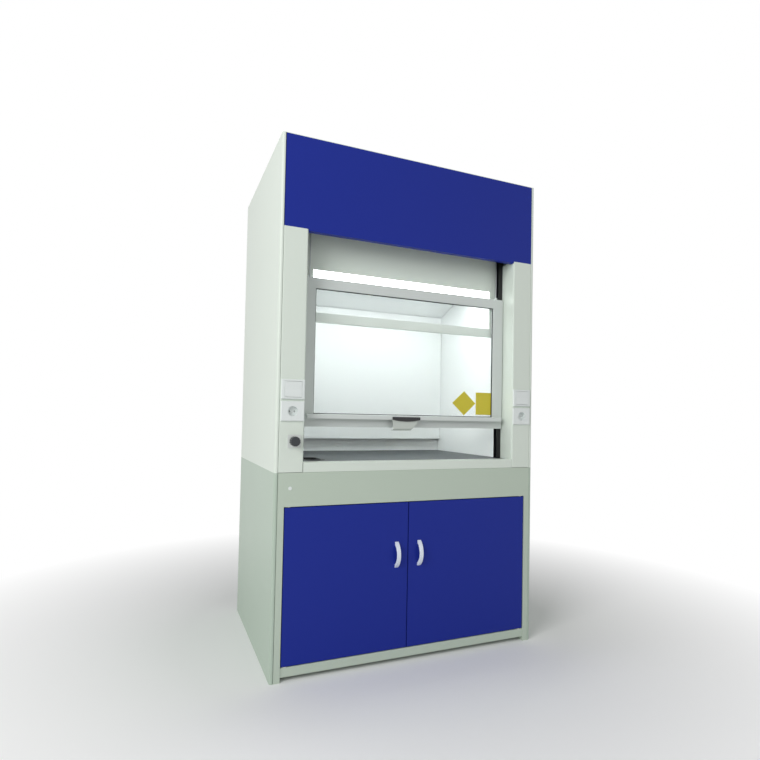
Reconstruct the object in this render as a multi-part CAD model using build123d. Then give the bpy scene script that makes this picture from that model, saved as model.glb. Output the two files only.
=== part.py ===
"""A walk-up laboratory fume hood: cupboard base, worktop with a cup sink,
lit chamber with rear baffles, and a counterbalanced vertical sash.

Millimetres. X runs to the right, Y to the back, Z up. The origin is on the
floor, at the middle of the cabinet's footprint.
"""
import os

from build123d import *

# Cabinet
width = 1200.0
depth = 880.0
height = 2125.0
base_height = 798.0
worktop_thickness = 40.0
gauge = 2.0
back_gauge = 1.5
back_side_gap = 1.0
edge_strip = 14.0
panel_groove = 1.0
seam_groove = 1.5
corner_radius = 9.0
fold_radius = 2.5
rear_return = 30.0
top_flange = 30.0

# Base cupboard
frame_depth = 45.0
post_width = 25.0
apron_height = 131.0
rail_bottom = 18.0
rail_top = 55.0
rail_setback = 3.0
floor_skirt = 30.0
door_gap = 3.5
door_setback = 1.5
door_thickness = 18.0
door_gauge = 1.5
door_lip = 16.0
door_edge_radius = 1.4
door_split = -30.0
pivot_inset = 16.0
pivot_setback = 10.0
pin_radius = 4.0
pin_reach = 9.0
pin_root = 12.0
pin_collar = 7.0
running_gap = 0.05
bush_radius = 5.5
bush_head_radius = 9.0
bush_head = 2.0
bush_length = 8.0
handle_length = 107.0
handle_reach = 28.0
handle_width = 17.0
handle_wall = 7.0
handle_foot = 15.0
handle_radius = 2.0
handle_height = 447.0
handle_offset = 52.0
plug_radius = 7.0
plug_shank = 5.0
plug_rise = 1.5
plug_inset = 47.0
plug_drop = 60.0
shelf_height = 360.0
shelf_edge = 20.0
shelf_gap = 3.0
shelf_front = 60.0
peg_radius = 3.0
peg_reach = 14.0
peg_inset = 100.0
catch_length = 46.0
catch_height = 15.0
catch_depth = 14.0
catch_gap = 0.5
catch_offset = 60.0
catch_radius = 2.0

# Posts beside the sash, and the fascia above it
post_face = 97.0
post_depth = 92.0
post_outer_depth = 30.0
post_radius = 6.0
fascia_height = 375.0
fascia_notch = 7.0
fascia_depth = 25.0
fascia_side_gap = 1.0

# Worktop and sill
worktop_front = 42.0
worktop_side_gap = 1.0
sill_radius = 5.0
sill_flange = 18.0

# Sash guides, header and fixed window
guide_cover = 3.0
guide_width = 24.0
guide_wall = 3.0
guide_depth = 28.0
guide_rise = 2.0
header_depth = 20.0
header_drop = 336.0
header_space = 97.0
window_side = 33.0
window_rise = 39.0
window_height = 179.0
window_glass = 4.0
window_overlap = 18.0

# Chamber
chamber_side = 8.0
liner_thickness = 6.0
ceiling_drop = 35.0
plenum_depth = 158.0
baffle_thickness = 6.0
baffle_slot = 26.0
baffle_low_gap = 66.0
baffle_bend_drop = 117.0
baffle_joint = 2.0
baffle_share = 0.284
baffle_rise = 74.0
baffle_gap = 2.0
baffle_tab = 30.0
baffle_tab_inset = 15.0
standoff_radius = 11.0
standoff_side = 80.0
standoff_inset = 57.0
lamp_front = 150.0
lamp_depth = 200.0
lamp_side = 10.0
lamp_height = 50.0
lamp_wall = 2.0
diffuser_height = 15.0
diffuser_wall = 3.0
diffuser_radius = 6.0
duct_radius = 125.0
duct_step = 3.0
duct_wall = 3.0
duct_margin = 3.0
duct_rise = 60.0
collar_gap = 5.0
duct_flange = 25.0
duct_clearance = 1.0

# Sash
sash_front = 80.0
sash_side = 4.0
sash_guide_gap = 3.0
sash_depth = 32.0
sash_wing = 8.0
sash_closed_gap = 14.0
sash_lift = 124.0
sash_cover = 51.0
sash_wall = 2.0
sash_stile = 32.0
sash_top_rail = 43.0
sash_bottom_rail = 53.0
rebate = 9.0
pane_setback = 10.0
pane_thickness = 5.0
pane_gap = 0.5
lip_reach = 30.0
lip_height = 19.0
lip_radius = 5.0
slide_length = 60.0
slide_reach = 22.0
slide_thickness = 16.0
slide_setback = 98.0
slide_inset = 40.0
slide_radius = 2.0
grip_x = -27.0
grip_half = 65.0
grip_bar = 19.0
grip_end = 12.0
grip_thickness = 5.0
grip_top_inset = 7.0
scoop_drop = 46.0
scoop_reach = 28.0
scoop_bend = 12.0
scoop_taper_left = 6.0
scoop_taper_right = 42.0

# Counterbalance
cable_inset = 9.0
cable_from_front = 97.0
cable_radius = 1.5
cable_gap = 0.3
lug_radius = 6.0
lug_height = 12.0
wheel_pitch = 30.0
wheel_rim = 36.0
wheel_width = 16.0
wheel_web = 6.0
wheel_hub = 14.0
wheel_hole = 3.0
wheel_holes = 6
wheel_space = 55.0
axle_radius = 6.0
shaft_radius = 10.0
shaft_end = 4.0
cheek_gap = 1.5
bracket_wall = 4.0
bracket_boss = 8.0
bracket_foot = 22.0
weight_height = 48.0
weight_depth = 40.0
weight_drop = 420.0
weight_edge = 3.0
weight_end_gap = 4.0
weight_side_gap = 2.0
channel_side = 36.0
channel_flange = 21.0
channel_wall = 3.0
channel_drop = 220.0
channel_length = 700.0

# Switches and sockets on the posts
plate_width = 92.0
plate_height = 77.0
plate_rise = 8.0
plate_radius = 3.0
plate_offset = 48.0
switch_rise = 283.5
socket_rise = 198.5
box_wall = 3.0
box_depth = 22.0
rocker_width = 66.0
rocker_height = 60.0
rocker_rise = 2.0
rocker_dish = 1.5
rocker_depth = 16.0
rocker_side_gap = 0.6
rocker_end_gap = 1.1
rocker_axis = 4.0
rocker_pin = 2.0
rocker_pin_reach = 2.0
socket_radius = 19.5
socket_depth = 17.0
socket_wall = 2.5
contact_radius = 2.5
contact_spacing = 19.0

# Water valve, spout and cup sink
knob_offset = 39.0
knob_rise = 82.0
knob_radius = 19.0
knob_length = 26.0
knob_edge = 2.0
knob_flutes = 12
flute_radius = 3.0
escutcheon_size = 52.0
escutcheon_rise = 4.0
escutcheon_radius = 4.0
knob_gap = 1.0
spindle_radius = 5.0
spindle_length = 40.0
valve_radius = 14.0
valve_neck = 10.0
valve_length = 60.0
pipe_radius = 6.0
pipe_bend = 20.0
spout_side = 33.0
spout_set_back = 36.0
spout_rise = 162.0
spout_tip_rise = 87.0
spout_collar = 18.0
spout_collar_length = 6.0
barb_radius = 8.0
barb_length = 7.0
barb_count = 4
barb_root = 1.0
nozzle_bore = 3.5
sink_side = 63.0
sink_from_front = 160.0
sink_width = 98.0
sink_length = 170.0
sink_rim = 11.0
sink_rim_height = 2.0
sink_gap = 0.5
sink_depth = 112.0
sink_wall = 3.0
sink_floor_radius = 12.0
grate_hole = 4.0
grate_ring = 11.0
grate_holes = 6
tail_radius = 20.0
tail_length = 26.0
trap_radius = 34.0
trap_height = 110.0
trap_neck = 24.0
trap_neck_height = 24.0
trap_edge = 10.0
waste_drop = 62.0
waste_radius = 20.0
waste_wall = 3.0
pipe_clearance = 1.0

# Places worked out from the sizes above
front = -depth / 2
back = depth / 2
half = width / 2
inner_half = half - gauge
back_inner = back - gauge - back_gauge
back_half = inner_half - back_side_gap
worktop_top = base_height + worktop_thickness
opening_top = base_height - apron_height
fascia_bottom = height - fascia_height
post_top = fascia_bottom + fascia_notch
header_bottom = fascia_bottom - header_drop
header_top = height - header_space
guide_top = header_top + guide_rise
window_bottom = header_bottom + window_rise
window_top = window_bottom + window_height
chamber_ceiling = fascia_bottom - ceiling_drop
frame_half = half - edge_strip - panel_groove
frame_back = front + frame_depth
opening_half = frame_half - post_width
door_face = front + door_setback
door_back = door_face + door_thickness
pivot_x = opening_half - door_gap - pivot_inset
pivot_y = door_face + pivot_setback
plug_x = -(frame_half - plug_inset)
plug_z = base_height - plug_drop
post_inner = frame_half - post_face
slab_front = front + worktop_front
guide_outer = post_inner + guide_cover
guide_inner = guide_outer - guide_width
guide_front = front + post_depth
guide_back = guide_front + guide_depth
header_back = guide_back + header_depth
window_half = guide_inner - window_side
chamber_half = post_inner - chamber_side
liner_half = chamber_half + liner_thickness
chamber_back_y = back - plenum_depth
baffle_y = chamber_back_y - baffle_slot - baffle_thickness
baffle_bottom = worktop_top + baffle_low_gap
baffle_bend = chamber_ceiling - baffle_bend_drop
baffle_reach = baffle_share * (chamber_back_y - front)
standoff_x = chamber_half - standoff_side
lamp_half = chamber_half - lamp_side
neck_radius = duct_radius - duct_step
duct_y = chamber_back_y + liner_thickness - duct_margin - duct_flange - neck_radius
sash_y = front + sash_front
sash_back = sash_y + sash_depth
sash_half = post_inner - sash_side
sash_body_half = guide_inner - sash_guide_gap
sash_bottom = worktop_top + sash_closed_gap + sash_lift
sash_top = header_bottom + sash_cover + sash_lift
pane_half = sash_body_half - sash_stile
pane_bottom = sash_bottom + sash_bottom_rail
pane_top = sash_top - sash_top_rail
lip_y = sash_y - lip_reach
lip_bottom = pane_bottom - lip_height
cable_x = sash_body_half - cable_inset
cable_y = front + cable_from_front
wheel_y = cable_y + wheel_pitch
wheel_height = height - wheel_space
channel_depth = weight_depth + 2 * (weight_side_gap + channel_wall)
channel_outer = cable_x + channel_side
channel_top = wheel_height - channel_drop
weight_y = back_inner - channel_depth / 2
weight_bottom = wheel_height - weight_drop
weight_top = weight_bottom + weight_height
rear_wheel_y = weight_y - wheel_pitch
cheek_inner = wheel_width / 2 + cheek_gap
cheek_outer = cheek_inner + bracket_wall
sink_x = -(chamber_half - sink_side)
sink_y = front + sink_from_front
sink_floor = worktop_top + sink_rim_height - sink_depth
tail_end = sink_floor - tail_length
waste_height = tail_end - waste_drop
plate_x = post_inner + plate_offset
switch_z = worktop_top + switch_rise
socket_z = worktop_top + socket_rise
switch_half_width = rocker_width / 2 + rocker_side_gap
switch_half_height = rocker_height / 2 + rocker_end_gap
knob_x = -(post_inner + knob_offset)
knob_z = worktop_top + knob_rise
spout_x = -(chamber_half - spout_side)
spout_y = sink_y + spout_set_back
spout_height = worktop_top + spout_rise
spout_tip = worktop_top + spout_tip_rise

across = (1, 0, 0)
rearward = (0, 1, 0)
upward = (0, 0, 1)


def block(x, y, z):
    """A box between pairs of limits."""
    middle = Pos(sum(x) / 2, sum(y) / 2, sum(z) / 2)
    return middle * Box(x[1] - x[0], y[1] - y[0], z[1] - z[0])


def both_sides(limit):
    """Limits that are the same to the left and to the right."""
    return (-limit, limit)


def about(middle, reach):
    """Limits at an equal reach to both sides of a middle."""
    return (middle - reach, middle + reach)


def rod(start, direction, radius, length):
    """A round bar from a point along a direction."""
    return extrude(Plane(origin=start, z_dir=direction) * Circle(radius), length)


def flat(x, z):
    """An upright rectangle between pairs of limits."""
    return Pos(sum(x) / 2, sum(z) / 2) * Rectangle(x[1] - x[0], z[1] - z[0])


def standing(outline, y):
    """An X-Z outline that is solid between two depths."""
    return extrude(Plane.XZ.offset(-y[0]) * outline, y[0] - y[1])


def pan(outline, face, deep, sheet=gauge):
    """A sheet face with all its edges turned back."""
    hollow = standing(offset(outline, -sheet), (face + sheet, face + deep))
    return standing(outline, (face, face + deep)) - hollow


def folded(outline, radii, plane, length, side):
    """A bent sheet whose outer face follows an outline, run out along a plane's normal."""
    path = FilletPolyline(*outline, radius=radii).wire()
    return extrude(plane * make_face(path.offset_2d(gauge, side=side)), length)


def across_sheet(outline, radii, reach, side):
    """A bent sheet that runs from side to side, equally far to both."""
    return folded(outline, radii, Plane.YZ.offset(-reach), 2 * reach, side)


def mirrored(shape):
    """The same piece on the other side of the cabinet."""
    return mirror(shape, about=Plane.YZ)


def side_panel(bottom, top):
    """Right-hand outer panel: a rounded front edge with a hem, and a rear return."""
    outline = [
        (half - edge_strip, front + edge_strip),
        (half - edge_strip, front),
        (half, front),
        (half, back),
        (half - rear_return, back),
    ]
    radii = [fold_radius, corner_radius, fold_radius]
    return folded(outline, radii, Plane.XY.offset(bottom), top - bottom, Side.LEFT)


def base_side():
    """Lower side panel with the ledge that carries the worktop."""
    ledge = block(
        (inner_half - top_flange, inner_half),
        (frame_back, back - gauge),
        (base_height - gauge, base_height),
    )
    return side_panel(0, base_height) + ledge


def base_front_frame():
    """The two front posts and the apron above the doors, one pressed piece."""
    opening = flat(both_sides(opening_half), (0, opening_top))
    frame = pan(flat(both_sides(frame_half), (0, base_height)) - opening, front, frame_depth)
    for x in both_sides(pivot_x):
        frame -= rod((x, pivot_y, opening_top), upward, bush_radius, gauge)
    return frame - rod((plug_x, front, plug_z), rearward, plug_shank, gauge)


def bottom_rail():
    """Channel under the doors, drilled for the lower bushes."""
    outline = [
        (frame_back, rail_bottom),
        (front + rail_setback, rail_bottom),
        (front + rail_setback, rail_top),
        (frame_back, rail_top),
    ]
    rail = across_sheet(outline, [fold_radius] * 2, opening_half, Side.RIGHT)
    for x in both_sides(pivot_x):
        rail -= rod((x, pivot_y, rail_top - gauge), upward, bush_radius, gauge)
    return rail


def base_floor():
    """Cupboard floor with its front and rear edges turned down."""
    skirt = rail_top - floor_skirt
    outline = [(frame_back, skirt), (frame_back, rail_top), (back_inner, rail_top), (back_inner, skirt)]
    return across_sheet(outline, [fold_radius] * 2, inner_half, Side.RIGHT)


def base_back():
    """Rear sheet of the cupboard, with the hole for the waste pipe."""
    sheet = block(both_sides(back_half), (back_inner, back - gauge), (rail_bottom, base_height - gauge))
    hole = rod((sink_x, back_inner, waste_height), rearward, waste_radius + pipe_clearance, back_gauge)
    return sheet - hole


def apron_plug():
    """Round plug in the spare hole of the apron."""
    head = rod((plug_x, front - plug_rise, plug_z), rearward, plug_radius, plug_rise)
    return head + rod((plug_x, front, plug_z), rearward, plug_shank, gauge + plug_rise)


def shelf():
    """Cupboard shelf with its edges turned down."""
    reach = inner_half - shelf_gap
    y = (front + shelf_front, back_inner - shelf_gap)
    tray = block(both_sides(reach), y, (shelf_height - shelf_edge, shelf_height))
    inside = block(
        both_sides(reach - gauge),
        (y[0] + gauge, y[1] - gauge),
        (shelf_height - shelf_edge, shelf_height - gauge),
    )
    return tray - inside


def shelf_pegs():
    """Four pegs in the side panels, under the shelf."""
    z = shelf_height - shelf_edge - peg_radius
    rows = (front + shelf_front + peg_inset, back_inner - peg_inset)
    pegs = [rod((inner_half, y, z), (-1, 0, 0), peg_radius, peg_reach) for y in rows]
    return pegs + [mirrored(peg) for peg in pegs]


def door_catches():
    """Two catches under the apron, one behind each door."""
    catches = []
    for x in about(door_split, catch_offset):
        y = door_back + catch_gap
        body = block(
            about(x, catch_length / 2), (y, y + catch_depth), (opening_top - catch_height, opening_top)
        )
        lower = body.faces().sort_by(Axis.Z)[0].edges().filter_by(Axis.X)
        catches.append(fillet(lower, catch_radius))
    return catches


def pivot_bush(x, seat, way):
    """Flanged bush in a sheet: the barrel points up where way is 1, down where it is -1."""
    start = (x, pivot_y, seat - way * bush_head)
    head = rod(start, (0, 0, way), bush_head_radius, bush_head)
    barrel = rod((x, pivot_y, seat), (0, 0, way), bush_radius, bush_length)
    return head + barrel - rod(start, (0, 0, way), pin_radius + running_gap, bush_head + bush_length)


def pivot_bushes():
    """The bushes above and below each door."""
    seats = ((opening_top, 1), (rail_top, -1))
    return [pivot_bush(x, seat, way) for x in both_sides(pivot_x) for seat, way in seats]


def door(x, pivot):
    """Pan-formed door with a turned-in rear lip and a welded pivot pin at each end."""
    z = (rail_top + door_gap, opening_top - door_gap)
    skin = block(x, (door_face, door_back), z)
    skin = fillet(skin.faces().sort_by(Axis.Y)[0].edges(), door_edge_radius)
    skin -= block(
        (x[0] + door_gauge, x[1] - door_gauge),
        (door_face + door_gauge, door_back - door_gauge),
        (z[0] + door_gauge, z[1] - door_gauge),
    )
    skin -= block(
        (x[0] + door_lip, x[1] - door_lip),
        (door_back - door_gauge, door_back),
        (z[0] + door_lip, z[1] - door_lip),
    )
    for end, way in ((z[0], -1), (z[1], 1)):
        start = (pivot, pivot_y, end - way * pin_root)
        skin += rod(start, (0, 0, way), pin_collar, pin_root)
        skin += rod(start, (0, 0, way), pin_radius, pin_root + pin_reach)
    return skin


def door_left():
    """The narrower door, hinged at the left post."""
    return door((-opening_half + door_gap, door_split - door_gap / 2), -pivot_x)


def door_right():
    """The wider door, hinged at the right post."""
    return door((door_split + door_gap / 2, opening_half - door_gap), pivot_x)


def bow(reach, rise):
    """Area between the door's face and an arc that stands out from it."""
    low = (door_face, handle_height - rise)
    high = (door_face, handle_height + rise)
    arc = ThreePointArc(low, (door_face - reach, handle_height), high)
    return make_face(arc + Line(high, low))


def handle(x):
    """Bow handle that stands on the door at its two ends."""
    outer = bow(handle_reach, handle_length / 2)
    inner = bow(handle_reach - handle_wall, handle_length / 2 - handle_foot)
    body = extrude(Plane.YZ.offset(x) * (outer - inner), handle_width / 2, both=True)
    return fillet(body.edges().filter_by(GeomType.CIRCLE), handle_radius)


def sink_outline(inset):
    """The cup sink's long oval, seen from above."""
    oval = SlotOverall(sink_length - 2 * inset, sink_width - 2 * inset, rotation=90)
    return Pos(sink_x, sink_y) * oval


def worktop():
    """Solid slab with the cup sink's cut-out."""
    slab = block(
        both_sides(inner_half - worktop_side_gap),
        (slab_front, chamber_back_y + liner_thickness),
        (base_height, worktop_top),
    )
    hole = sink_outline(sink_rim - sink_gap)
    return slab - extrude(Plane.XY.offset(base_height) * hole, worktop_top - base_height)


def bowl(inset, floor, edge):
    """Round-bottomed oval prism that hangs from the sink's rim."""
    top = worktop_top + sink_rim_height
    body = extrude(Plane.XY.offset(top) * sink_outline(inset), floor - top)
    return fillet(body.faces().sort_by(Axis.Z)[0].edges(), edge)


def cup_sink():
    """Oval drop-in cup with a drilled floor and a tail pipe."""
    cup = extrude(Plane.XY.offset(worktop_top) * sink_outline(0), sink_rim_height)
    cup += bowl(sink_rim, sink_floor, sink_floor_radius)
    tail = (sink_x, sink_y, sink_floor)
    cup += rod(tail, (0, 0, -1), tail_radius, tail_length)
    cup -= bowl(sink_rim + sink_wall, sink_floor + sink_wall, sink_floor_radius - sink_wall)
    cup -= rod(tail, (0, 0, -1), tail_radius - sink_wall, tail_length)
    holes = [Pos(0, 0)] + list(PolarLocations(grate_ring, grate_holes))
    for hole in holes:
        cup -= Pos(*tail) * hole * Cylinder(grate_hole, 2 * sink_wall)
    return cup


def waste_trap():
    """Bottle trap under the cup sink, with its pipe out through the back."""
    shoulder = tail_end - waste_wall
    bottle = rod((sink_x, sink_y, shoulder), (0, 0, -1), trap_radius, trap_height)
    bottle = fillet(bottle.edges(), trap_edge)
    neck = rod((sink_x, sink_y, shoulder), upward, trap_neck, trap_neck_height)
    trap = bottle + neck
    trap -= rod((sink_x, sink_y, tail_end), upward, tail_radius + running_gap, trap_neck_height)
    trap += rod((sink_x, sink_y, waste_height), rearward, waste_radius, back - sink_y)
    outlet = sink_y + trap_radius
    trap -= rod((sink_x, outlet, waste_height), rearward, waste_radius - waste_wall, back - outlet)
    return trap


def sill():
    """Rolled sheet in front of the worktop, between the posts."""
    outline = [
        (front + sill_flange, base_height),
        (front, base_height),
        (front, worktop_top),
        (slab_front, worktop_top),
    ]
    return across_sheet(outline, [fold_radius, sill_radius], post_inner, Side.RIGHT)


def upper_side():
    """Upper side panel, from the seam to the roof."""
    return side_panel(base_height, height - gauge)


def upper_back():
    """Rear sheet behind the chamber and the counterweight."""
    return block(both_sides(back_half), (back_inner, back - gauge), (base_height, height - gauge))


def roof():
    """Top sheet, with the hole for the exhaust duct."""
    outline = Rectangle(width, depth)
    outline = fillet(outline.vertices().group_by(Axis.Y)[0], corner_radius)
    hole = Pos(0, duct_y) * Circle(neck_radius + duct_clearance)
    return extrude(Plane.XY.offset(height - gauge) * (outline - hole), gauge)


def post_cover():
    """Right-hand post beside the sash: a folded sheet with the switch and socket cut-outs."""
    outline = [
        (frame_half, front + post_outer_depth),
        (frame_half, front),
        (post_inner, front),
        (post_inner, guide_front),
    ]
    bottom = base_height + seam_groove
    radii = [fold_radius, post_radius]
    cover = folded(outline, radii, Plane.XY.offset(bottom), post_top - bottom, Side.RIGHT)
    cover -= block((post_inner, frame_half), (slab_front, guide_front), (bottom, worktop_top))
    cover -= block(
        about(plate_x, switch_half_width + box_wall),
        (front, front + gauge),
        about(switch_z, switch_half_height + box_wall),
    )
    return cover - rod((plate_x, front, socket_z), rearward, socket_radius + socket_wall, gauge)


def post_cover_left():
    """Left-hand post, drilled for the water valve as well."""
    hole = rod((knob_x, front, knob_z), rearward, valve_neck, gauge)
    return mirrored(post_cover()) - hole


def sash_guides():
    """Black channels behind the posts, in which the sash slides."""
    outer = block((guide_inner, guide_outer), (guide_front, guide_back), (worktop_top, guide_top))
    groove = block(
        (guide_inner, guide_outer - guide_wall),
        (guide_front + guide_wall, guide_back - guide_wall),
        (worktop_top, guide_top),
    )
    return [outer - groove, mirrored(outer - groove)]


def fascia():
    """Blue top front, cut up at its lower corners to sit on the posts."""
    outline = flat(both_sides(frame_half - fascia_side_gap), (post_top, height - gauge))
    outline += flat(both_sides(post_inner - fascia_side_gap), (fascia_bottom, post_top))
    return pan(outline, front, fascia_depth)


def header_panel():
    """Fixed panel above the opening, behind the sash, with the window hole."""
    panel = pan(flat(both_sides(guide_outer), (header_bottom, header_top)), guide_back, header_depth)
    window = flat(both_sides(window_half), (window_bottom, window_top))
    return panel - standing(window, (guide_back, guide_back + gauge))


def fixed_glass():
    """Window pane behind the header panel."""
    y = guide_back + gauge
    return block(
        both_sides(window_half + window_overlap),
        (y, y + window_glass),
        (window_bottom - window_overlap, window_top + window_overlap),
    )


def liner():
    """Right-hand chamber wall, notched at its top front for the header panel."""
    wall = flat((guide_back, chamber_back_y), (worktop_top, chamber_ceiling))
    wall -= flat((guide_back, header_back), (header_bottom, chamber_ceiling))
    return extrude(Plane.YZ.offset(chamber_half) * wall, liner_thickness)


def liner_left():
    """Left-hand chamber wall, drilled for the spout."""
    hole = rod((-liner_half, spout_y, spout_height), across, pipe_radius + pipe_clearance, liner_thickness)
    return mirrored(liner()) - hole


def chamber_back():
    """Rear wall of the chamber."""
    y = (chamber_back_y, chamber_back_y + liner_thickness)
    return block(both_sides(liner_half), y, (worktop_top, chamber_ceiling))


def chamber_top():
    """Ceiling of the chamber, with the hole for the duct."""
    y = (header_back, chamber_back_y + liner_thickness)
    top = chamber_ceiling + liner_thickness
    board = block(both_sides(liner_half), y, (chamber_ceiling, top))
    return board - rod((0, duct_y, chamber_ceiling), upward, neck_radius + duct_clearance, liner_thickness)


def baffle_lower():
    """Upright baffle, open above the worktop."""
    y = (baffle_y, baffle_y + baffle_thickness)
    return block(both_sides(chamber_half - baffle_gap), y, (baffle_bottom, baffle_bend))


def baffle_upper():
    """Baffle that slants forward under the ceiling and hangs from two tabs."""
    start = (baffle_y + baffle_thickness, baffle_bend + baffle_joint)
    end = (baffle_y - baffle_reach, start[1] + baffle_rise)
    corners = [start, end]
    corners += [(end[0], end[1] + baffle_thickness), (start[0], start[1] + baffle_thickness)]
    section = make_face(Polyline(*corners, close=True))
    reach = chamber_half - baffle_gap
    panel = extrude(Plane.YZ.offset(-reach) * section, 2 * reach)
    y = end[0] + baffle_tab_inset
    z = end[1] - baffle_rise * baffle_tab_inset / (start[0] - end[0]) + baffle_thickness / 2
    for x in both_sides(standoff_x):
        panel += block(about(x, baffle_tab / 2), (y, y + gauge), (z, chamber_ceiling))
    return panel


def baffle_standoffs():
    """Round spacers between the lower baffle and the rear wall."""
    y = baffle_y + baffle_thickness
    rows = (baffle_bottom + standoff_inset, baffle_bend - standoff_inset)
    places = [(x, z) for x in both_sides(standoff_x) for z in rows]
    return [rod((x, y, z), rearward, standoff_radius, baffle_slot) for x, z in places]


def lamp_tray(top, bottom, wall, opening):
    """Shallow tray under the ceiling, open at one level."""
    y = (front + lamp_front, front + lamp_front + lamp_depth)
    tray = block(both_sides(lamp_half), y, (bottom, top))
    inside = block(both_sides(lamp_half - wall), (y[0] + wall, y[1] - wall), opening)
    return tray, inside


def lamp_housing():
    """Sheet tray of the chamber light, open below."""
    bottom = chamber_ceiling - lamp_height
    opening = (bottom, chamber_ceiling - lamp_wall)
    tray, inside = lamp_tray(chamber_ceiling, bottom, lamp_wall, opening)
    return tray - inside


def lamp_diffuser():
    """Opal cover that closes the light from below."""
    top = chamber_ceiling - lamp_height
    bottom = top - diffuser_height
    tray, inside = lamp_tray(top, bottom, diffuser_wall, (bottom + diffuser_wall, top))
    return fillet(tray.faces().sort_by(Axis.Z)[0].edges(), diffuser_radius) - inside


def exhaust_duct():
    """Round duct from the chamber's ceiling, with a thicker collar above the roof."""
    start = (0, duct_y, chamber_ceiling)
    length = height + duct_rise - chamber_ceiling
    duct = rod(start, upward, neck_radius, length)
    duct += rod((0, duct_y, chamber_ceiling + liner_thickness), upward, neck_radius + duct_flange, duct_wall)
    duct += rod((0, duct_y, height + collar_gap), upward, duct_radius, duct_rise - collar_gap)
    return duct - rod(start, upward, neck_radius - duct_wall, length)


def ring(outer_inset, inner_inset):
    """The sash's outline less a smaller one: insets from the edge and past the glass."""
    outer = flat(
        both_sides(sash_body_half - outer_inset), (sash_bottom + outer_inset, sash_top - outer_inset)
    )
    inner = flat(both_sides(pane_half + inner_inset), (pane_bottom - inner_inset, pane_top + inner_inset))
    return outer - inner


def sash_frame():
    """Section frame with side wings, a finger lip below and a cable lug at each top corner."""
    pane_face = sash_y + pane_setback
    frame = standing(ring(0, 0), (sash_y, sash_back))
    frame -= standing(
        flat(both_sides(pane_half + rebate), (pane_bottom - rebate, pane_top + rebate)),
        (pane_face, sash_back),
    )
    frame -= standing(ring(sash_wall, rebate + sash_wall), (sash_y + sash_wall, sash_back))
    wing = block((sash_body_half, sash_half), (sash_y, sash_y + sash_wing), (sash_bottom, sash_top))
    frame += wing + mirrored(wing)
    outline = [(sash_y, pane_bottom), (lip_y, pane_bottom), (lip_y, lip_bottom)]
    frame += across_sheet(outline, [lip_radius], sash_body_half, Side.LEFT)
    for x in both_sides(cable_x):
        frame += rod((x, cable_y, sash_top), upward, lug_radius, lug_height)
    return frame


def sash_glass():
    """Pane in the sash's rebate."""
    margin = rebate - pane_gap
    y = sash_y + pane_setback
    return block(
        both_sides(pane_half + margin),
        (y, y + pane_thickness),
        (pane_bottom - margin, pane_top + margin),
    )


def sash_slides():
    """Four nylon blocks on the sash's edges that run in the guides."""
    y = front + slide_setback
    slides = []
    for z in (sash_bottom + slide_inset, sash_top - slide_inset - slide_length):
        body = block(
            (sash_body_half, sash_body_half + slide_reach), (y, y + slide_thickness), (z, z + slide_length)
        )
        slides.append(fillet(body.faces().sort_by(Axis.X)[-1].edges(), slide_radius))
    return slides + [mirrored(slide) for slide in slides]


def sash_grip():
    """Bar on the front of the finger lip, deepest at its middle."""
    top = pane_bottom - grip_top_inset
    left, right = about(grip_x, grip_half)
    corners = [(left, top - grip_end), (left, top), (right, top), (right, top - grip_end)]
    belly = ThreePointArc(corners[-1], (grip_x, top - grip_bar), corners[0])
    return standing(make_face(Polyline(*corners) + belly), (lip_y - grip_thickness, lip_y))


def grip_scoop():
    """Cupped sheet behind the bar, for the fingers, that runs out to the right."""
    low = lip_bottom - scoop_drop
    left, right = about(grip_x, grip_half)
    outline = [(lip_y, lip_bottom), (lip_y, low), (lip_y + scoop_reach, low)]
    cup = folded(outline, [scoop_bend], Plane.YZ.offset(left), 2 * grip_half, Side.LEFT)
    corners = [
        (left, lip_bottom),
        (right, lip_bottom),
        (right - scoop_taper_right, low),
        (left + scoop_taper_left, low),
    ]
    return cup & standing(make_face(Polyline(*corners, close=True)), (lip_y, lip_y + scoop_reach))


def cable_pair(y, bottom):
    """Upright cable runs, one at each side, up to the height of the wheels' centres."""
    return [rod((x, y, bottom), upward, cable_radius, wheel_height - bottom) for x in both_sides(cable_x)]


def cables_sash():
    """Cables from the sash up to the front wheels."""
    return cable_pair(cable_y, sash_top + lug_height)


def cables_weight():
    """Cables from the counterweight up to the rear wheels."""
    return cable_pair(weight_y, weight_top + lug_height)


def cables_top():
    """Cables over the front wheels, back under the roof and over the rear wheels."""
    top = wheel_height + wheel_pitch
    path = CenterArc((wheel_y, wheel_height), wheel_pitch, 180, -90)
    path += Line((wheel_y, top), (rear_wheel_y, top))
    path += CenterArc((rear_wheel_y, wheel_height), wheel_pitch, 90, -90)
    runs = []
    for x in both_sides(cable_x):
        start = Plane(origin=(x, cable_y, wheel_height), z_dir=upward)
        runs.append(sweep(start * Circle(cable_radius), Plane.YZ.offset(x) * path))
    return runs


def wheel(x, y, bore):
    """Grooved cable wheel with a drilled web."""
    width_half = wheel_width / 2
    groove = cable_radius + cable_gap
    flare = groove + cable_radius
    web_edge = (wheel_hub + wheel_pitch) / 2
    section = flat(both_sides(width_half), (bore, wheel_hub))
    section += flat(both_sides(wheel_web / 2), (bore, wheel_rim))
    section += flat(both_sides(width_half), (wheel_pitch - wheel_web, wheel_rim))
    throat = [(-flare, wheel_rim), (-groove, wheel_pitch), (groove, wheel_pitch), (flare, wheel_rim)]
    section -= make_face(Polyline(*throat, close=True))
    section -= Pos(0, wheel_pitch) * Circle(groove)
    body = revolve(section, Axis.X)
    for hole in PolarLocations((wheel_hub + wheel_pitch - wheel_web) / 2, wheel_holes):
        body -= Plane.YZ * hole * Cylinder(wheel_hole, wheel_web)
    return Pos(x, y, wheel_height) * body


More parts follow.
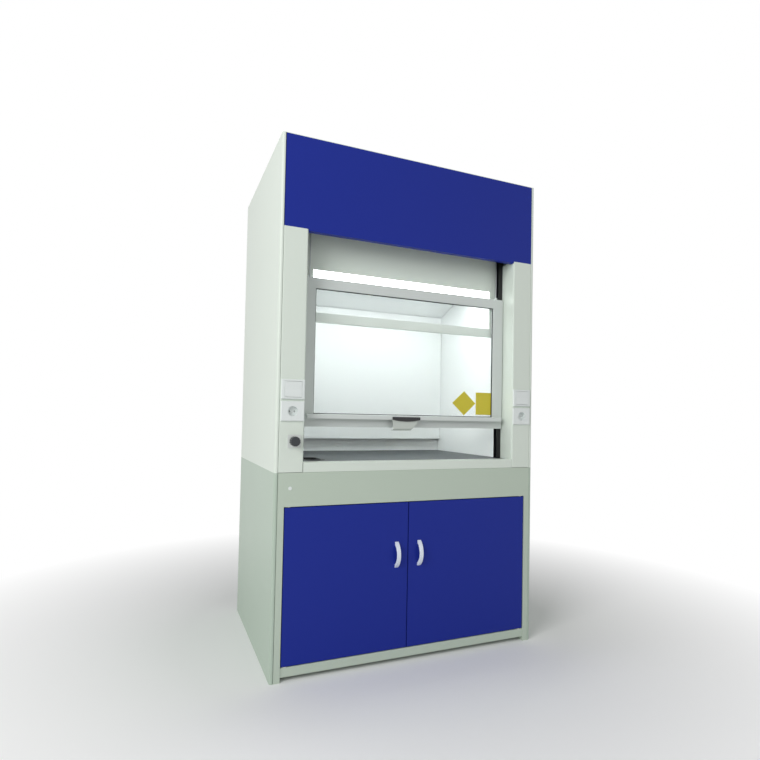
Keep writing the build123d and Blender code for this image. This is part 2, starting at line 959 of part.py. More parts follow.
def wheels_rear():
    """Rear wheels, pressed on the cross shaft that keeps the sash level."""
    reach = cable_x + cheek_outer + shaft_end
    shaft = rod((-reach, rear_wheel_y, wheel_height), across, shaft_radius, 2 * reach)
    for x in both_sides(cable_x):
        shaft += wheel(x, rear_wheel_y, shaft_radius)
    return shaft


def cheek(x, y, boss, foot):
    """Side plate of a wheel bracket: a round boss on an arm."""
    outline = Pos(y, wheel_height) * Circle(boss)
    outline += foot
    return extrude(Plane.YZ.offset(x) * outline, bracket_wall)


def front_bracket():
    """Fork on top of the header panel, with the wheel's axle through it."""
    seat = header_top + bracket_wall
    foot = flat((guide_back, header_back), (seat, wheel_height))
    base = block(about(cable_x, cheek_outer), (guide_back, header_back), (header_top, seat))
    for x in (cable_x - cheek_outer, cable_x + cheek_inner):
        base += cheek(x, wheel_y, axle_radius + bracket_boss, foot)
    start = (cable_x - cheek_outer, wheel_y, wheel_height)
    return base + rod(start, across, axle_radius, 2 * cheek_outer)


def rear_bracket():
    """Plate on the rear sheet that carries one end of the cross shaft."""
    boss = shaft_radius + bracket_boss
    inner = cable_x + cheek_inner
    arm = flat((rear_wheel_y, back_inner), about(wheel_height, boss))
    plate = cheek(inner, rear_wheel_y, boss, arm)
    plate += block(
        (inner, inner + bracket_foot), (back_inner - bracket_wall, back_inner), about(wheel_height, boss)
    )
    bore = rod((inner, rear_wheel_y, wheel_height), across, shaft_radius + running_gap, bracket_wall)
    return plate - bore


def wheel_brackets():
    """Front forks and rear plates."""
    pair = [front_bracket(), rear_bracket()]
    return pair + [mirrored(bracket) for bracket in pair]


def weight_channels():
    """Channels on the rear sheet that guide the counterweight's ends."""
    y = (back_inner - channel_depth, back_inner)
    z = (channel_top - channel_length, channel_top)
    outer = block((channel_outer - channel_flange, channel_outer), y, z)
    groove = block(
        (channel_outer - channel_flange, channel_outer - channel_wall),
        (y[0] + channel_wall, y[1] - channel_wall),
        z,
    )
    return [outer - groove, mirrored(outer - groove)]


def counterweight():
    """Steel bar across the cabinet, with a cable lug near each end."""
    reach = channel_outer - channel_wall - weight_end_gap
    bar = block(both_sides(reach), about(weight_y, weight_depth / 2), (weight_bottom, weight_top))
    bar = fillet(bar.edges().filter_by(Axis.X), weight_edge)
    for x in both_sides(cable_x):
        bar += rod((x, weight_y, weight_top), upward, lug_radius, lug_height)
    return bar


def cover_plate(z):
    """Plate on the right-hand post, rounded at its front edges."""
    y = (front - plate_rise, front)
    plate = block(about(plate_x, plate_width / 2), y, about(z, plate_height / 2))
    return fillet(plate.faces().sort_by(Axis.Y)[0].edges(), plate_radius)


def switch_frame():
    """Plate and box of a rocker switch, with a bearing hole in each side wall."""
    box = block(
        about(plate_x, switch_half_width + box_wall),
        (front, front + box_depth),
        about(switch_z, switch_half_height + box_wall),
    )
    inside = block(
        about(plate_x, switch_half_width),
        (front - plate_rise, front + box_depth - box_wall),
        about(switch_z, switch_half_height),
    )
    reach = switch_half_width + rocker_pin_reach + running_gap
    start = (plate_x - reach, front + rocker_axis, switch_z)
    bearing = rod(start, across, rocker_pin + running_gap, 2 * reach)
    return cover_plate(switch_z) + box - inside - bearing


def rocker():
    """Large rocker with a shallow dish in its face and a pivot pin at each side."""
    face = front - plate_rise - rocker_rise
    rise = rocker_height / 2
    corners = [
        (face, switch_z + rise),
        (face + rocker_dish, switch_z),
        (face, switch_z - rise),
        (face + rocker_depth, switch_z - rise),
        (face + rocker_depth, switch_z + rise),
    ]
    section = make_face(Polyline(*corners, close=True))
    body = extrude(Plane.YZ.offset(plate_x - rocker_width / 2) * section, rocker_width)
    reach = switch_half_width + rocker_pin_reach
    start = (plate_x - reach, front + rocker_axis, switch_z)
    return body + rod(start, across, rocker_pin, 2 * reach)


def socket_plate():
    """Plate with a round socket well and two contact holes in its floor."""
    mouth = (plate_x, front - plate_rise, socket_z)
    boss_length = socket_depth - plate_rise + socket_wall
    plate = cover_plate(socket_z)
    plate += rod((plate_x, front, socket_z), rearward, socket_radius + socket_wall, boss_length)
    plate -= rod(mouth, rearward, socket_radius, socket_depth)
    for x in about(plate_x, contact_spacing / 2):
        start = (x, mouth[1] + socket_depth, socket_z)
        plate -= rod(start, rearward, contact_radius, socket_wall)
    return plate


def water_valve():
    """Valve body behind the left post, with a square escutcheon in front of it."""
    plate = block(
        about(knob_x, escutcheon_size / 2),
        (front - escutcheon_rise, front),
        about(knob_z, escutcheon_size / 2),
    )
    plate = fillet(plate.edges().filter_by(Axis.Y), escutcheon_radius)
    neck = rod((knob_x, front, knob_z), rearward, valve_neck, gauge)
    body = rod((knob_x, front + gauge, knob_z), rearward, valve_radius, valve_length)
    start = (knob_x, front - escutcheon_rise, knob_z)
    return plate + neck + body - rod(start, rearward, spindle_radius + running_gap, spindle_length)


def knob():
    """Fluted grip on a round spindle."""
    heel = front - escutcheon_rise - knob_gap
    grip = rod((knob_x, heel, knob_z), (0, -1, 0), knob_radius, knob_length)
    grip = fillet(grip.faces().sort_by(Axis.Y)[0].edges(), knob_edge)
    face = Plane(origin=(knob_x, heel, knob_z), z_dir=(0, -1, 0))
    for place in PolarLocations(knob_radius + flute_radius / 2, knob_flutes):
        grip -= extrude(face * place * Circle(flute_radius), knob_length)
    return grip + rod((knob_x, heel, knob_z), rearward, spindle_radius, spindle_length)


def barb(z):
    """One ring of the hose nozzle, wider at its top."""
    cone = Cone(pipe_radius - barb_root, barb_radius, barb_length)
    return Pos(spout_x, spout_y, z + barb_length / 2) * cone


def water_spout():
    """Pipe from the valve through the liner to a hose nozzle above the cup sink."""
    path = FilletPolyline(
        (knob_x, front + gauge + valve_length, knob_z),
        (knob_x, spout_y, knob_z),
        (knob_x, spout_y, spout_height),
        (spout_x, spout_y, spout_height),
        (spout_x, spout_y, spout_tip),
        radius=pipe_bend,
    )
    section = Plane(origin=path @ 0, z_dir=path % 0) * Circle(pipe_radius)
    spout = sweep(section, path)
    spout += rod((-chamber_half, spout_y, spout_height), across, spout_collar, spout_collar_length)
    for step in range(barb_count):
        spout += barb(spout_tip + step * barb_length)
    return spout - rod((spout_x, spout_y, spout_tip), upward, nozzle_bore, barb_count * barb_length)


pieces = {
    "base_side_left": mirrored(base_side()),
    "base_side_right": base_side(),
    "base_front_frame": base_front_frame(),
    "bottom_rail": bottom_rail(),
    "base_back": base_back(),
    "base_floor": base_floor(),
    "apron_plug": apron_plug(),
    "shelf": shelf(),
    "shelf_pegs": shelf_pegs(),
    "door_catches": door_catches(),
    "pivot_bushes": pivot_bushes(),
    "door_left": door_left(),
    "door_right": door_right(),
    "handle_left": handle(door_split - handle_offset),
    "handle_right": handle(door_split + handle_offset),
    "worktop": worktop(),
    "sill": sill(),
    "cup_sink": cup_sink(),
    "waste_trap": waste_trap(),
    "upper_side_left": mirrored(upper_side()),
    "upper_side_right": upper_side(),
    "upper_back": upper_back(),
    "roof": roof(),
    "post_left": post_cover_left(),
    "post_right": post_cover(),
    "sash_guides": sash_guides(),
    "fascia": fascia(),
    "header_panel": header_panel(),
    "fixed_glass": fixed_glass(),
    "liner_left": liner_left(),
    "liner_right": liner(),
    "chamber_back": chamber_back(),
    "chamber_top": chamber_top(),
    "baffle_lower": baffle_lower(),
    "baffle_upper": baffle_upper(),
    "baffle_standoffs": baffle_standoffs(),
    "lamp_housing": lamp_housing(),
    "lamp_diffuser": lamp_diffuser(),
    "exhaust_duct": exhaust_duct(),
    "sash_frame": sash_frame(),
    "sash_glass": sash_glass(),
    "sash_slides": sash_slides(),
    "sash_grip": sash_grip(),
    "grip_scoop": grip_scoop(),
    "cables_sash": cables_sash(),
    "cables_top": cables_top(),
    "cables_weight": cables_weight(),
    "wheel_front_left": wheel(-cable_x, wheel_y, axle_radius + running_gap),
    "wheel_front_right": wheel(cable_x, wheel_y, axle_radius + running_gap),
    "wheels_rear": wheels_rear(),
    "wheel_brackets": wheel_brackets(),
    "weight_channels": weight_channels(),
    "counterweight": counterweight(),
    "switch_frames": [mirrored(switch_frame()), switch_frame()],
    "rocker_left": mirrored(rocker()),
    "rocker_right": rocker(),
    "socket_plates": [mirrored(socket_plate()), socket_plate()],
    "water_valve": water_valve(),
    "knob": knob(),
    "water_spout": water_spout(),
}

os.makedirs("parts", exist_ok=True)
for name, piece in pieces.items():
    solid = Compound(children=piece) if isinstance(piece, list) else piece
    export_step(solid, f"parts/{name}.step")
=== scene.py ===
"""Looks of a walk-up laboratory fume hood: finishes for every piece of the cabinet,
the small trim that the solids leave out, and a pale studio with a camera.

Metres. X runs to the right, Y to the back, Z up.
"""
import math

import bmesh
import bpy
from mathutils import Matrix, Vector


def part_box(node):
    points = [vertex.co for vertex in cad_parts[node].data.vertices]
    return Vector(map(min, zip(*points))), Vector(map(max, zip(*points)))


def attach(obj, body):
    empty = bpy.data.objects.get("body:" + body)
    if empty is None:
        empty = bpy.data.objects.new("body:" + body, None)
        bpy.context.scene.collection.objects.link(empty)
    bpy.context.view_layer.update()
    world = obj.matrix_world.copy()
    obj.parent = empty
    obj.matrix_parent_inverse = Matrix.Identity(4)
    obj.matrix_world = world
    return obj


bl_info = {
    "name": "Fume Hood Looks",
    "version": (1, 0, 0),
    "blender": (4, 5, 0),
    "location": "View3D > Sidebar > Fume Hood",
    "description": "Finishes, trim and studio for a laboratory fume hood",
    "category": "Object",
}

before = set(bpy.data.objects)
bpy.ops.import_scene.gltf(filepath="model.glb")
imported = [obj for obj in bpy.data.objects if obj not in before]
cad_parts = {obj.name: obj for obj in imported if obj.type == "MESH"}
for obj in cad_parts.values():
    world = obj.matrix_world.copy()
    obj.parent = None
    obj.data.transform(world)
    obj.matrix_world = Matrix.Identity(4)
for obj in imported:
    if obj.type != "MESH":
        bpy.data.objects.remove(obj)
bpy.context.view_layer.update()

# Patterns of the finishes
mm_per_metre = 1000
grain_detail = 3.0
grain_roughness = 0.55
grain_ends = (0.3, 0.7)
cloud_mm = 400
cloud_detail = 2.0
relief = 0.25
smear_mm = 250
smear_detail = 4.0

# Shine, clearness and glow of the finishes
glass_ior = 1.52
glass_shine = 1.0
glass_cover = 0.09
glass_roughness = (0.01, 0.06)
coat_ior = 1.5
plastic_ior = 1.49
lamp_glow = 7.0

# Sash trim
hidden_edge = 0.0085
gasket_depth = 0.004

# Studio
floor_fade = (0.9, 2.4)
sky_light = 0.42
key_place = (-3.6, -2.7, 2.8)
key_target = (0, 0, 1.3)
key_size = 2.2
key_power = 105
fill_place = (2.6, -4.6, 2.0)
fill_target = (0, 0, 1.0)
fill_size = 3.0
fill_power = 10

# Camera
camera_place = (-1.02423, -2.56757, 1.01531)
camera_yaw = math.radians(23.9186)
camera_pitch = math.radians(1.7073)
camera_roll = math.radians(1.0692)
sensor_width = 36
frame_pixels = 760
focal_pixels = 552.80
shift_pixels = (-20.0, 22.12)


def linear(code):
    """An sRGB hex value as linear red, green, blue and a full alpha."""
    parts = [int(code[i:i + 2], 16) / 255 for i in (1, 3, 5)]
    return [p / 12.92 if p <= 0.04045 else ((p + 0.055) / 1.055) ** 2.4 for p in parts] + [1.0]


def colour(name, code, description):
    """A colour that the panel shows."""
    return bpy.props.FloatVectorProperty(
        name=name, description=description, subtype="COLOR", size=4, min=0, max=1, default=linear(code)
    )


def length(name, default, description):
    """A length that the panel shows."""
    return bpy.props.FloatProperty(
        name=name, description=description, subtype="DISTANCE", unit="LENGTH", default=default, min=0
    )


class HoodColours(bpy.types.PropertyGroup):
    """Colours of the hood's finishes."""

    white: colour("White coat", "#DDE6DC", "Powder coat of the upper cabinet")
    base: colour("Base coat", "#BFCCBD", "Powder coat of the front frame below the worktop")
    base_side: colour("Base sides", "#B4C4B5", "Powder coat of the lower side panels")
    blue: colour("Blue coat", "#1D2E90", "Powder coat of the fascia and the doors")
    sash: colour("Sash coat", "#D3D9D6", "Powder coat of the sash frame")
    board: colour("Chamber board", "#F1F5F3", "Laminate of the chamber walls and baffles")
    spacer: colour("Spacer nylon", "#E2E5E4", "Baffle spacers and sash slides")
    worktop: colour("Worktop", "#252D32", "Cast epoxy of the worktop")
    black: colour("Black plastic", "#141517", "Sash guides, cup sink and grip bar")
    opal: colour("Opal cover", "#F6F8F8", "Cover of the chamber light")
    glow: colour("Chamber light", "#FAFDFF", "Colour of the chamber light")
    duct: colour("Duct plastic", "#9DA3A6", "Exhaust duct and its collar")
    glass: colour("Glass", "#EEF3F5", "Tint of the panes")
    rubber: colour("Rubber", "#1B1D1F", "Gasket round the sash pane")
    film: colour("Film", "#CDBF26", "Plain film pieces on the sash pane")
    scoop: colour("Grip plastic", "#C2C9C2", "Scoop below the grip's bar")
    # This white also paints the apron_plug, a small white cap that stands for a painted highlight on the
    # apron.
    plate: colour("Switch plastic", "#E4EAE8", "Switch and socket plates")
    handle: colour("Handle plastic", "#E6EDF8", "Door handles")
    knob: colour("Knob plastic", "#2E3236", "Water knob")
    brass: colour("Coated brass", "#D9DEDA", "Water valve and spout")
    bush: colour("Bush nylon", "#E9E7DC", "Bushes of the door pivots")
    zinc: colour("Zinc plate", "#A9ADB0", "Cables, wheels, brackets and counterweight")
    floor: colour("Studio floor", "#F4F5F5", "Floor under the hood")


class HoodSizes(bpy.types.PropertyGroup):
    """Sizes of the trim that the solids leave out, and of the studio floor."""

    gasket: length("Gasket width", 0.003, "Seen width of the rubber round the sash pane")
    film_thickness: length("Film thickness", 0.0004, "Thickness of the plain film pieces")
    diamond: length("Diamond film", 0.056, "Half height of the turned film piece")
    diamond_width: length("Diamond film width", 0.062, "Half width of the turned film piece")
    diamond_x: length("Diamond place", 0.283, "Distance of the turned film piece from the middle")
    film_z: length("Film pieces' height", 1.092, "Height of both film pieces' middles at rest")
    film_width: length("Film width", 0.084, "Width of the upright film piece")
    film_height: length("Film height", 0.104, "Height of the upright film piece")
    film_x: length("Film place", 0.388, "Distance of the upright film piece from the middle")
    floor: length("Floor half size", 9.0, "Half size of the studio floor")


def node_of(material, kind, links=None, **settings):
    """Add one shader node: settings are its properties or its inputs, links feed its inputs."""
    node = material.node_tree.nodes.new(kind)
    for key, value in settings.items():
        name = key.replace("_", " ")
        if hasattr(node, key):
            setattr(node, key, value)
        else:
            node.inputs[name].default_value = value
    for key, socket in (links or {}).items():
        material.node_tree.links.new(socket, node.inputs[key])
    return node


def empty_tree(owner):
    """Give a material or a world a node tree with nothing in it."""
    owner.use_nodes = True
    owner.node_tree.nodes.clear()
    return owner


def new_material(name):
    """An empty material with its principled shader wired up."""
    material = empty_tree(bpy.data.materials.new(name))
    shader = node_of(material, "ShaderNodeBsdfPrincipled")
    node_of(material, "ShaderNodeOutputMaterial", {"Surface": shader.outputs[0]})
    return material, shader


def mottled(material, shader, tint, grain_mm, spread, rough, rough_spread, bump_mm):
    """Colour and relief from a grain of a real size in millimetres, roughness from wide clouds."""
    place = node_of(material, "ShaderNodeTexCoord").outputs["Object"]
    noise = node_of(
        material, "ShaderNodeTexNoise", {"Vector": place},
        Scale=mm_per_metre / grain_mm, Detail=grain_detail, Roughness=grain_roughness,
    )
    cloud = node_of(
        material, "ShaderNodeTexNoise", {"Vector": place}, Scale=mm_per_metre / cloud_mm, Detail=cloud_detail
    )
    ramp = node_of(material, "ShaderNodeValToRGB", {"Fac": noise.outputs["Fac"]})
    for stop, place_on_ramp, change in zip(ramp.color_ramp.elements, grain_ends, (-spread, spread)):
        stop.color = [min(1, c * (1 + change)) for c in tint[:3]] + [1]
        stop.position = place_on_ramp
    level = node_of(
        material, "ShaderNodeMapRange", {"Value": cloud.outputs["Fac"]},
        To_Min=rough - rough_spread, To_Max=rough + rough_spread,
    )
    bump = node_of(
        material, "ShaderNodeBump", {"Height": noise.outputs["Fac"]},
        Strength=relief, Distance=bump_mm / mm_per_metre,
    )
    link = material.node_tree.links.new
    link(ramp.outputs["Color"], shader.inputs["Base Color"])
    link(level.outputs["Result"], shader.inputs["Roughness"])
    link(bump.outputs["Normal"], shader.inputs["Normal"])


def powder_coat(name, tint, rough=0.42, shine=0.35):
    """Powder-coated steel sheet: satin, with the coat's fine orange peel."""
    material, shader = new_material(name)
    shader.inputs["IOR"].default_value = coat_ior
    shader.inputs["Specular IOR Level"].default_value = shine
    mottled(material, shader, tint, grain_mm=1.6, spread=0.02, rough=rough, rough_spread=0.04, bump_mm=0.05)
    return material


def laminate_board(name, tint):
    """Compact laminate, pressed against a fine plate: pale, smooth and half glossy."""
    material, shader = new_material(name)
    mottled(material, shader, tint, grain_mm=0.8, spread=0.01, rough=0.35, rough_spread=0.03, bump_mm=0.02)
    return material


def cast_epoxy(name, tint):
    """Cast epoxy slab: dark, with a fine mineral fleck and a dull sheen."""
    material, shader = new_material(name)
    mottled(material, shader, tint, grain_mm=2.2, spread=0.22, rough=0.38, rough_spread=0.06, bump_mm=0.06)
    return material


def moulded_plastic(name, tint, rough=0.35):
    """Moulded plastic: even colour with the fine spark-eroded skin of its mould."""
    material, shader = new_material(name)
    shader.inputs["IOR"].default_value = plastic_ior
    mottled(material, shader, tint, grain_mm=0.6, spread=0.03, rough=rough, rough_spread=0.03, bump_mm=0.03)
    return material


def zinc_plated_steel(name, tint):
    """Zinc-plated steel: a dull metal with cloudy spangle."""
    material, shader = new_material(name)
    shader.inputs["Metallic"].default_value = 1.0
    mottled(material, shader, tint, grain_mm=6.0, spread=0.12, rough=0.4, rough_spread=0.08, bump_mm=0.02)
    return material


def float_glass(name, tint):
    """Float glass pane: clear, with a faint cast, a sharp shine and wiped smears."""
    material, shader = new_material(name)
    shader.inputs["Base Color"].default_value = tint
    shader.inputs["Alpha"].default_value = glass_cover
    shader.inputs["IOR"].default_value = glass_ior
    shader.inputs["Specular IOR Level"].default_value = glass_shine
    place = node_of(material, "ShaderNodeTexCoord").outputs["Object"]
    smear = node_of(
        material, "ShaderNodeTexNoise", {"Vector": place}, Scale=mm_per_metre / smear_mm, Detail=smear_detail
    )
    level = node_of(
        material, "ShaderNodeMapRange", {"Value": smear.outputs["Fac"]},
        To_Min=glass_roughness[0], To_Max=glass_roughness[1],
    )
    material.node_tree.links.new(level.outputs["Result"], shader.inputs["Roughness"])
    return material


def opal_acrylic(name, tint, glow):
    """Opal acrylic cover that is lit from inside: an even white glow with no lamp to be seen."""
    material, shader = new_material(name)
    mottled(material, shader, tint, grain_mm=1.0, spread=0.01, rough=0.3, rough_spread=0.02, bump_mm=0.01)
    shader.inputs["Emission Color"].default_value = glow
    shader.inputs["Emission Strength"].default_value = lamp_glow
    return material


def paint(material, *names):
    """Give a finish to CAD nodes by name."""
    for name in names:
        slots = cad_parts[name].data.materials
        slots.clear()
        slots.append(material)


def mesh_piece(name, make, material, body):
    """A piece built by a bmesh function, finished and riding on a body."""
    mesh = bpy.data.meshes.new(name)
    work = bmesh.new()
    make(work)
    bmesh.ops.recalc_face_normals(work, faces=work.faces)
    work.to_mesh(mesh)
    work.free()
    piece = bpy.data.objects.new(name, mesh)
    bpy.context.scene.collection.objects.link(piece)
    mesh.materials.append(material)
    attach(piece, body)


def plate(work, corners, y, thickness):
    """An X-Z polygon standing at a depth, with a thickness to the back."""
    face = work.faces.new([work.verts.new((x, y, z)) for x, z in corners])
    grown = bmesh.ops.extrude_face_region(work, geom=[face])
    verts = [v for v in grown["geom"] if isinstance(v, bmesh.types.BMVert)]
    bmesh.ops.translate(work, verts=verts, vec=(0, thickness, 0))


def rectangle(x0, x1, z0, z1):
    """Corners of an upright rectangle between its limits."""
    return [(x0, z0), (x1, z0), (x1, z1), (x0, z1)]


class HOOD_OT_cabinet(bpy.types.Operator):
    """Finish the folded sheet of the cabinet"""

    bl_idname = "hood.cabinet"
    bl_label = "Cabinet"

    def execute(self, context):
        tints = context.scene.hood_colours
        paint(
            powder_coat("white_powder_coat", tints.white),
            "upper_side_left", "upper_side_right", "post_left", "post_right", "sill", "roof",
            "header_panel", "upper_back", "lamp_housing",
        )
        paint(powder_coat("pale_grey_powder_coat", tints.base), "base_front_frame", "bottom_rail")
        paint(
            powder_coat("grey_powder_coat", tints.base_side),
            "base_side_left", "base_side_right", "base_back", "base_floor", "shelf",
        )
        blue = powder_coat("blue_powder_coat", tints.blue, rough=0.36, shine=0.15)
        paint(blue, "fascia", "door_left", "door_right")
        return {"FINISHED"}


class HOOD_OT_chamber(bpy.types.Operator):
    """Finish the lit chamber, the worktop and the cup sink"""

    bl_idname = "hood.chamber"
    bl_label = "Chamber"

    def execute(self, context):
        tints = context.scene.hood_colours
        paint(
            laminate_board("white_compact_laminate", tints.board),
            "liner_left", "liner_right", "chamber_back", "chamber_top", "baffle_lower", "baffle_upper",
        )
        paint(moulded_plastic("white_nylon_spacer", tints.spacer), "baffle_standoffs", "sash_slides")
        paint(cast_epoxy("dark_cast_epoxy", tints.worktop), "worktop")
        paint(
            moulded_plastic("black_polypropylene", tints.black, rough=0.4),
            "cup_sink", "waste_trap", "sash_guides",
        )
        paint(opal_acrylic("opal_acrylic", tints.opal, tints.glow), "lamp_diffuser")
        paint(moulded_plastic("grey_duct_plastic", tints.duct, rough=0.45), "exhaust_duct")
        return {"FINISHED"}


class HOOD_OT_sash(bpy.types.Operator):
    """Finish the sash frame, the panes and the grip"""

    bl_idname = "hood.sash"
    bl_label = "Sash"

    def execute(self, context):
        tints = context.scene.hood_colours
        paint(powder_coat("sash_powder_coat", tints.sash), "sash_frame")
        paint(float_glass("float_glass", tints.glass), "sash_glass", "fixed_glass")
        paint(moulded_plastic("black_moulded_grip", tints.black, rough=0.3), "sash_grip")
        paint(moulded_plastic("smoke_grey_moulded_scoop", tints.scoop, rough=0.3), "grip_scoop")
        return {"FINISHED"}


class HOOD_OT_gasket(bpy.types.Operator):
    """Add the rubber gasket round the sash pane"""

    bl_idname = "hood.gasket"
    bl_label = "Gasket"

    def execute(self, context):
        rubber = moulded_plastic("black_rubber_gasket", context.scene.hood_colours.rubber, rough=0.6)
        width = context.scene.hood_sizes.gasket
        low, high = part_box("sash_glass")
        left, right = low.x + hidden_edge, high.x - hidden_edge
        bottom, top = low.z + hidden_edge, high.z - hidden_edge
        strips = (
            rectangle(left, right, top - width, top),
            rectangle(left, right, bottom, bottom + width),
            rectangle(left, left + width, bottom + width, top - width),
            rectangle(right - width, right, bottom + width, top - width),
        )

        def gasket(work):
            for strip in strips:
                plate(work, strip, low.y - gasket_depth, gasket_depth)

        mesh_piece("sash_gasket", gasket, rubber, "sash")
        return {"FINISHED"}


class HOOD_OT_film(bpy.types.Operator):
    """Add the two plain film pieces to the sash pane"""

    bl_idname = "hood.film"
    bl_label = "Film pieces"

    def execute(self, context):
        sizes = context.scene.hood_sizes
        film = moulded_plastic("plain_yellow_film", context.scene.hood_colours.film, rough=0.3)
        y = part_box("sash_glass")[0].y - sizes.film_thickness
        z = sizes.film_z

        def diamond(work):
            x, wide, tall = sizes.diamond_x, sizes.diamond_width, sizes.diamond
            plate(work, [(x, z - tall), (x + wide, z), (x, z + tall), (x - wide, z)], y, sizes.film_thickness)

        def upright(work):
            x, wide, tall = sizes.film_x, sizes.film_width / 2, sizes.film_height / 2
            plate(work, rectangle(x - wide, x + wide, z - tall, z + tall), y, sizes.film_thickness)

        mesh_piece("film_turned", diamond, film, "sash")
        mesh_piece("film_upright", upright, film, "sash")
        return {"FINISHED"}


class HOOD_OT_fittings(bpy.types.Operator):
    """Finish the handles, switches, sockets, knob and spout"""

    bl_idname = "hood.fittings"
    bl_label = "Fittings"

    def execute(self, context):
        tints = context.scene.hood_colours
        handle = moulded_plastic("pale_moulded_handle", tints.handle, rough=0.25)
        paint(handle, "handle_left", "handle_right")
        # The apron_plug is a small white cap that stands for a painted highlight, a lamp's reflection on the
        # glossy apron. The switch frames, socket plates and rockers are real white plastic.
        paint(
            moulded_plastic("white_moulded_plate_and_painted_highlight", tints.plate, rough=0.3),
            "switch_frames", "socket_plates", "rocker_left", "rocker_right", "apron_plug",
        )
        paint(moulded_plastic("dark_moulded_knob", tints.knob, rough=0.4), "knob")
        paint(powder_coat("coated_brass", tints.brass), "water_valve", "water_spout")
        paint(moulded_plastic("natural_nylon", tints.bush), "pivot_bushes")
        return {"FINISHED"}


class HOOD_OT_balance(bpy.types.Operator):
    """Finish the cables, wheels, brackets and counterweight"""

    bl_idname = "hood.balance"
    bl_label = "Balance"

    def execute(self, context):
        paint(
            zinc_plated_steel("zinc_plated_steel", context.scene.hood_colours.zinc),
            "shelf_pegs", "door_catches", "wheel_brackets", "weight_channels", "counterweight",
            "wheel_front_left", "wheel_front_right", "wheels_rear",
            "cables_sash", "cables_top", "cables_weight",
        )
        return {"FINISHED"}


def seen_directly(owner):
    """1 for what the camera, a reflection or a clear pane sees, and 0 for light on a surface."""
    path = node_of(owner, "ShaderNodeLightPath")
    seen = path.outputs["Is Camera Ray"]
    for way in ("Is Glossy Ray", "Is Transmission Ray"):
        either = node_of(owner, "ShaderNodeMath", {0: seen, 1: path.outputs[way]}, operation="MAXIMUM")
        seen = either.outputs[0]
    return seen


def studio_floor(half, tint):
    """A pale floor that keeps the shadow near the object and fades to white further out."""
    material = empty_tree(bpy.data.materials.new("studio_floor"))
    place = node_of(material, "ShaderNodeTexCoord").outputs["Object"]
    reach = node_of(material, "ShaderNodeVectorMath", {0: place}, operation="LENGTH")
    fade = node_of(
        material, "ShaderNodeMapRange", {"Value": reach.outputs["Value"]},
        From_Min=floor_fade[0], From_Max=floor_fade[1],
    )
    factor = node_of(
        material, "ShaderNodeMath", {0: fade.outputs[0], 1: seen_directly(material)}, operation="MULTIPLY"
    )
    matt = node_of(material, "ShaderNodeBsdfDiffuse", Color=tint)
    white = node_of(material, "ShaderNodeEmission")
    mix = node_of(
        material, "ShaderNodeMixShader", {0: factor.outputs[0], 1: matt.outputs[0], 2: white.outputs[0]}
    )
    node_of(material, "ShaderNodeOutputMaterial", {"Surface": mix.outputs[0]})
    mesh = bpy.data.meshes.new("floor")
    corners = [(-half, -half, 0), (half, -half, 0), (half, half, 0), (-half, half, 0)]
    mesh.from_pydata(corners, [], [range(len(corners))])
    floor = bpy.data.objects.new("floor", mesh)
    bpy.context.scene.collection.objects.link(floor)
    mesh.materials.append(material)


def studio_world(level):
    """White to the camera and in reflections, and a plain grey light on everything else."""
    world = empty_tree(bpy.data.worlds.new("studio"))
    strength = node_of(world, "ShaderNodeMapRange", {"Value": seen_directly(world)}, To_Min=level, To_Max=1.0)
    light = node_of(world, "ShaderNodeBackground", {"Strength": strength.outputs[0]}, Color=(1, 1, 1, 1))
    node_of(world, "ShaderNodeOutputWorld", {"Surface": light.outputs[0]})
    bpy.context.scene.world = world


def soft_lamp(name, place, target, size, power):
    """A square soft box that faces a target."""
    lamp = bpy.data.lights.new(name, "AREA")
    lamp.size = size
    lamp.energy = power
    holder = bpy.data.objects.new(name, lamp)
    bpy.context.scene.collection.objects.link(holder)
    holder.location = place
    holder.rotation_euler = (Vector(target) - Vector(place)).to_track_quat("-Z", "Y").to_euler()


def studio_camera(scene):
    """The photograph's viewpoint: position, turn, focal length and framing."""
    ahead = Vector((
        math.sin(camera_yaw) * math.cos(camera_pitch),
        math.cos(camera_yaw) * math.cos(camera_pitch),
        math.sin(camera_pitch),
    ))
    level = Vector((math.cos(camera_yaw), -math.sin(camera_yaw), 0))
    above = level.cross(ahead)
    right = level * math.cos(camera_roll) + above * math.sin(camera_roll)
    up = above * math.cos(camera_roll) - level * math.sin(camera_roll)
    view = bpy.data.cameras.new("camera")
    view.sensor_width = sensor_width
    view.lens = focal_pixels * sensor_width / frame_pixels
    view.shift_x = shift_pixels[0] / frame_pixels
    view.shift_y = shift_pixels[1] / frame_pixels
    camera = bpy.data.objects.new("camera", view)
    scene.collection.objects.link(camera)
    turn = Matrix((right, up, -ahead)).transposed().to_4x4()
    camera.matrix_world = Matrix.Translation(camera_place) @ turn
    scene.camera = camera


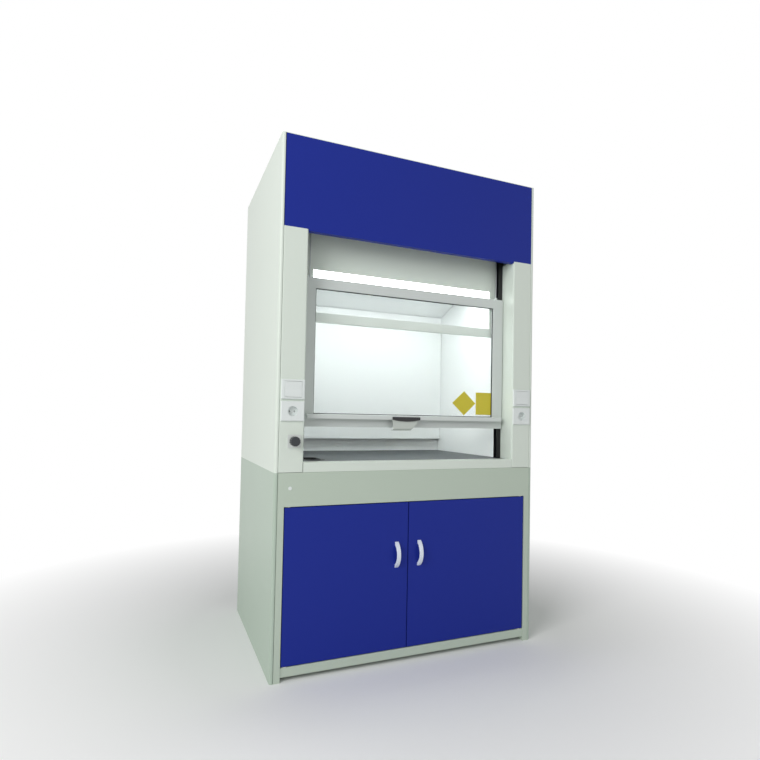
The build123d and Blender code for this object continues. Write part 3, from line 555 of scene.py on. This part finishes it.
class HOOD_OT_stage(bpy.types.Operator):
    """Set up the floor, the light and the camera"""

    bl_idname = "hood.stage"
    bl_label = "Studio"

    def execute(self, context):
        scene = context.scene
        studio_floor(scene.hood_sizes.floor, scene.hood_colours.floor)
        studio_world(sky_light)
        soft_lamp("key_lamp", key_place, key_target, key_size, key_power)
        soft_lamp("fill_lamp", fill_place, fill_target, fill_size, fill_power)
        studio_camera(scene)
        scene.view_settings.view_transform = "Standard"
        return {"FINISHED"}


class HOOD_PT_panel(bpy.types.Panel):
    """Lists the hood's pieces, sizes and colours"""

    bl_idname = "HOOD_PT_panel"
    bl_label = "Fume Hood"
    bl_space_type = "VIEW_3D"
    bl_region_type = "UI"
    bl_category = "Fume Hood"

    def draw(self, context):
        for operator in operators:
            self.layout.operator(operator.bl_idname)
        for group in (context.scene.hood_sizes, context.scene.hood_colours):
            for name in group.__annotations__:
                self.layout.prop(group, name)


operators = (
    HOOD_OT_cabinet,
    HOOD_OT_chamber,
    HOOD_OT_sash,
    HOOD_OT_gasket,
    HOOD_OT_film,
    HOOD_OT_fittings,
    HOOD_OT_balance,
    HOOD_OT_stage,
)


def register():
    """Make the hood's groups, operators and panel known."""
    for cls in (HoodColours, HoodSizes, *operators, HOOD_PT_panel):
        bpy.utils.register_class(cls)
    bpy.types.Scene.hood_colours = bpy.props.PointerProperty(type=HoodColours)
    bpy.types.Scene.hood_sizes = bpy.props.PointerProperty(type=HoodSizes)


def unregister():
    """Take away what register added."""
    del bpy.types.Scene.hood_sizes
    del bpy.types.Scene.hood_colours
    for cls in (HOOD_PT_panel, *reversed(operators), HoodSizes, HoodColours):
        bpy.utils.unregister_class(cls)


def main():
    """Finish the hood piece by piece and set the stage."""
    register()
    bpy.ops.hood.cabinet()
    bpy.ops.hood.chamber()
    bpy.ops.hood.sash()
    bpy.ops.hood.gasket()
    bpy.ops.hood.film()
    bpy.ops.hood.fittings()
    bpy.ops.hood.balance()
    bpy.ops.hood.stage()


if __name__ == "__main__":
    main()
